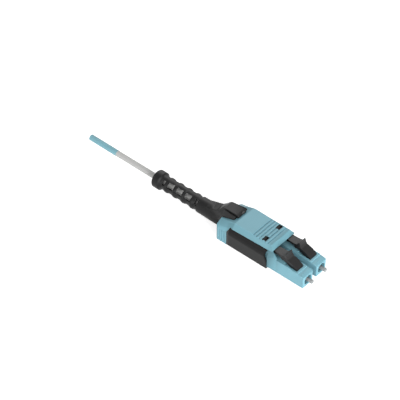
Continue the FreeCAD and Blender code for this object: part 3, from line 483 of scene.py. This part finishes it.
# painted shade: the walls of the two windows are painted black
tree = cover_resin.node_tree
base = tree.nodes["Principled BSDF"].inputs["Base Color"]
walls = tree.nodes.new("ShaderNodeGroup")
walls.node_tree = window_walls()
walls.inputs["Centre"].default_value = window_at
walls.inputs["Half length"].default_value = window_half_length
walls.inputs["Side centre"].default_value = plug_offset
walls.inputs["Half width"].default_value = window_half_width
mix_into(tree, walls.outputs["Mask"], base.links[0].from_socket, window_shade_black, base)
dress("release_cover", cover_resin)

# --- Boot ---------------------------------------------------------------------------------
# Boot and pull tab are one moulding in a softer black plastic. A lattice of ribs lets the
# rear bend, and the saddle of the tab grips the cover. The lattice's side bars dip between
# its rings, and the bars on top and below stay straight.
tab_light_bottom = 0.0062
lattice_start = 0.0456
lattice_stop = 0.0606
lattice_ease = 0.0006
first_ring = 0.04785
ring_pitch = 0.0034979
ring_slack = 0.00002
waist_depth = 0.00036
ring_fullness = 0.8
sleeve_bore = 0.0017
sleeve_outside = 0.00255
bore_play = 0.00002
bore_relief = 0.0003
opening_cut = 0.00125
opening_half = 0.00104
straight_bar_half = 22
straight_bar_blend = 6
lattice_cuts = 48
quarter = math.radians(90)
soft_black = finish("soft_black", (0.0046, 0.0047, 0.0049), 0.40, drift=0.20, relief=0.00001,
                    specular=0.23, edge=0.00024, edge_colour=(0.035, 0.035, 0.036), wear_and_highlight=1.6)
# painted light: the top of the pull tab is painted lighter
add_painted_shading(soft_black, upwards, tab_light_bottom, softness=0.0010, colour=(0.012, 0.012, 0.0125))


def lattice_depth(behind_tips):
    """How far the outside of the lattice is drawn in at a distance behind the ferrule tips."""
    if not lattice_start < behind_tips < lattice_stop:
        return 0.0
    ease = min(1.0, (behind_tips - lattice_start) / lattice_ease,
               (lattice_stop - behind_tips) / lattice_ease)
    wave = 0.5 - 0.5 * math.cos(math.tau * (behind_tips - first_ring) / ring_pitch)
    return ease * (ring_slack + waist_depth * wave ** ring_fullness)


shape = cut_copy("boot", [
    lattice_start + (lattice_stop - lattice_start) * step / lattice_cuts
    for step in range(lattice_cuts + 1)])
for vertex in shape.verts:
    depth = lattice_depth(tip_at - vertex.co.x)
    reach = math.hypot(vertex.co.y, vertex.co.z - axis_height)
    angle = math.atan2(vertex.co.z - axis_height, vertex.co.y)
    if not depth or reach < sleeve_bore - bore_play:
        continue
    # the side walls of the openings stand closer together, so that the bars are wider
    diagonal = math.radians(45) + quarter * math.floor(angle / quarter)
    aside = reach * math.sin(angle - diagonal)
    if abs(abs(aside) - opening_cut) < same_place:
        angle = diagonal + math.copysign(math.asin(opening_half / reach), aside)
    from_top = math.degrees(abs(abs(angle) - quarter))
    dip = min(1.0, max(0.0, (from_top - straight_bar_half) / straight_bar_blend))
    share = min(1.0, max(0.0, (reach - sleeve_bore) / (sleeve_outside - sleeve_bore)))
    reach += bore_relief * (1 - share) - depth * share * dip
    vertex.co.y = reach * math.cos(angle)
    vertex.co.z = axis_height + reach * math.sin(angle)
stand_for("boot", shape, "boot_moulding", soft_black, "release_slider",
          crease=28)

# --- Crimp --------------------------------------------------------------------------------
# The yellow aramid yarn of the cable is gripped between a steel post behind the body and a
# crimped steel sleeve.
yarn_gold = finish("yarn_gold", (0.60, 0.45, 0.12), 0.6, grain=3000.0, relief=0.00004)
for node in ("crimp_post", "crimp_sleeve"):
    dress(node, turned_steel)
dress("strength_yarn", yarn_gold)

# --- Floor, light and world ---------------------------------------------------------------
# A plain white table under soft studio light: a large box in front, one at the right-hand
# side, and one high behind, whose sheen lies along the top faces.
bpy.ops.mesh.primitive_plane_add(size=3.0, location=(0, 0, 0))
floor = bpy.context.object
floor.name = "floor"
table_glow = 0.75
middle = Vector((0, 0, 0.004))


def seen_directly(tree):
    """1 for the rays that show the background itself."""
    paths = tree.nodes.new("ShaderNodeLightPath")
    total = paths.outputs["Is Camera Ray"]
    for ray in ("Is Glossy Ray", "Is Transmission Ray"):
        total = calculate(tree, "MAXIMUM", total, paths.outputs[ray])
    return total


table_white = bpy.data.materials.new("table_white")
table_white.use_nodes = True
tree = table_white.node_tree
shader = tree.nodes["Principled BSDF"]
shader.inputs["Base Color"].default_value = (0.75, 0.75, 0.75, 1)
shader.inputs["Roughness"].default_value = 0.9
shader.inputs["Specular IOR Level"].default_value = 0.0
glow = tree.nodes.new("ShaderNodeEmission")
feed(tree, calculate(tree, "MULTIPLY", seen_directly(tree), table_glow), glow.inputs["Strength"])
both = tree.nodes.new("ShaderNodeAddShader")
feed(tree, shader.outputs[0], both.inputs[0])
feed(tree, glow.outputs[0], both.inputs[1])
feed(tree, both.outputs[0], tree.nodes["Material Output"].inputs["Surface"])
floor.data.materials.append(table_white)


def soft_box(name, place, width, power):
    """A square softbox aimed at the middle of the connector."""
    lamp = bpy.data.lights.new(name, "AREA")
    lamp.shape = "SQUARE"
    lamp.size = width
    lamp.energy = power
    box = bpy.data.objects.new(name, lamp)
    bpy.context.collection.objects.link(box)
    box.location = place
    box.rotation_euler = (Vector(place) - middle).to_track_quat("Z", "Y").to_euler()


soft_box("front_light", (0.68, -0.23, 0.23), width=0.35, power=7.2)
soft_box("side_light", (0.0, -0.62, 0.20), width=0.35, power=1.7)
soft_box("back_light", (-0.49, 0.66, 0.57), width=0.45, power=3.0)

world = bpy.data.worlds.new("studio")
world.use_nodes = True
bpy.context.scene.world = world
tree = world.node_tree
room = tree.nodes["Background"]
room.inputs["Color"].default_value = (1, 1, 1, 1)
room.inputs["Strength"].default_value = 0.27
white = tree.nodes.new("ShaderNodeBackground")
white.inputs["Color"].default_value = (1, 1, 1, 1)
white.inputs["Strength"].default_value = 1.0
choose = tree.nodes.new("ShaderNodeMixShader")
feed(tree, seen_directly(tree), choose.inputs["Fac"])
feed(tree, room.outputs[0], choose.inputs[1])
feed(tree, white.outputs[0], choose.inputs[2])
feed(tree, choose.outputs[0], tree.nodes["World Output"].inputs["Surface"])

bpy.context.scene.view_settings.view_transform = "Standard"
